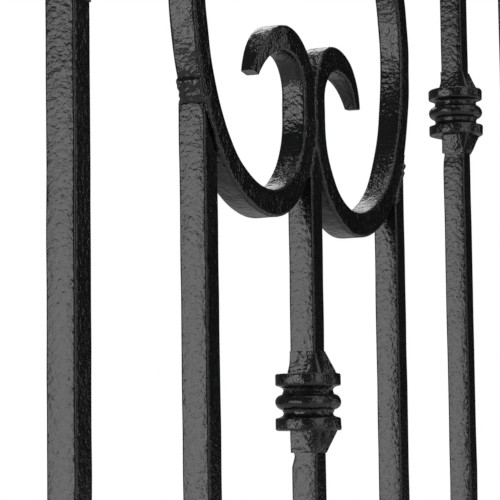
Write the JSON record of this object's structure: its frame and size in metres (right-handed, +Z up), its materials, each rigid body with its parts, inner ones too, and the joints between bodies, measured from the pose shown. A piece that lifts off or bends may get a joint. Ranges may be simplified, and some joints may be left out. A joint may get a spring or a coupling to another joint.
{
  "type": "garden gate",
  "caption": "Bow-top garden gate of square steel bar with a heart of two curled scrolls, hung on pin hinges with plates for a post, with a slide bolt and its keep.",
  "frame": {"origin": "centre of the lower hinge plate's four-hole pattern, on the face that meets the hanging post", "axes": "+X across the opening towards the latch post, +Y from the street side to the garden side that the leaf opens into, +Z up"},
  "size_m": [1, 0.1125, 1.1599],
  "materials": {
    "leaf_paint": "gloss black paint, brushed on over rolled steel bar, slightly pitted",
    "scroll_paint": "gloss black paint over forged, hammered steel",
    "post_fittings": "satin black paint over plate",
    "knob_paint": "gloss black paint, worn where it is held",
    "zinc_hardware": "zinc-plated steel, dulled by weather"
  },
  "bodies": {
    "post_fittings": {"lower_hinge_plate": "post_fittings", "lower_hinge_pin": "zinc_hardware", "upper_hinge_plate": "post_fittings", "upper_hinge_pin": "zinc_hardware", "hinge_thrust_washer": "zinc_hardware", "keep_plate": "post_fittings", "keep_socket": "post_fittings", "keep_stop": "post_fittings"},
    "leaf": {"hanging_stile": "leaf_paint", "latch_stile": "leaf_paint", "bottom_rail": "leaf_paint", "top_rail": "leaf_paint", "bar_1": "leaf_paint", "bar_2": "leaf_paint", "bar_6": "leaf_paint", "bar_7": "leaf_paint", "lower_bar_3": "leaf_paint", "lower_bar_4": "leaf_paint", "lower_bar_5": "leaf_paint", "upper_bar_3": "leaf_paint", "upper_bar_4": "leaf_paint", "upper_bar_5": "leaf_paint", "heart_scroll_left": "scroll_paint", "heart_scroll_right": "scroll_paint", "knuckle_left": "scroll_paint", "knuckle_centre": "scroll_paint", "knuckle_right": "scroll_paint", "finial_hanging": "leaf_paint", "finial_latch": "leaf_paint", "lower_eye_bolt": "zinc_hardware", "upper_eye_bolt": "zinc_hardware", "hinge_nuts": "zinc_hardware", "hinge_washers": "zinc_hardware", "latch_back_plate": "leaf_paint", "latch_guide_inner": "leaf_paint", "latch_guide_middle": "leaf_paint", "latch_guide_outer": "leaf_paint"},
    "latch_bolt": {"slide_bolt": "zinc_hardware", "bolt_knob": "knob_paint"}
  },
  "joints": [
    {"name": "leaf_swing", "type": "hinge", "parent": "post_fittings", "child": "leaf", "pos_m": [0.028, 0, 0], "axis": [0, 0, 1], "range_deg": [0, 95]},
    {"name": "bolt_slide", "type": "slide", "parent": "leaf", "child": "latch_bolt", "axis": [1, 0, 0], "range_m": [0, 0.036]}
  ]
}
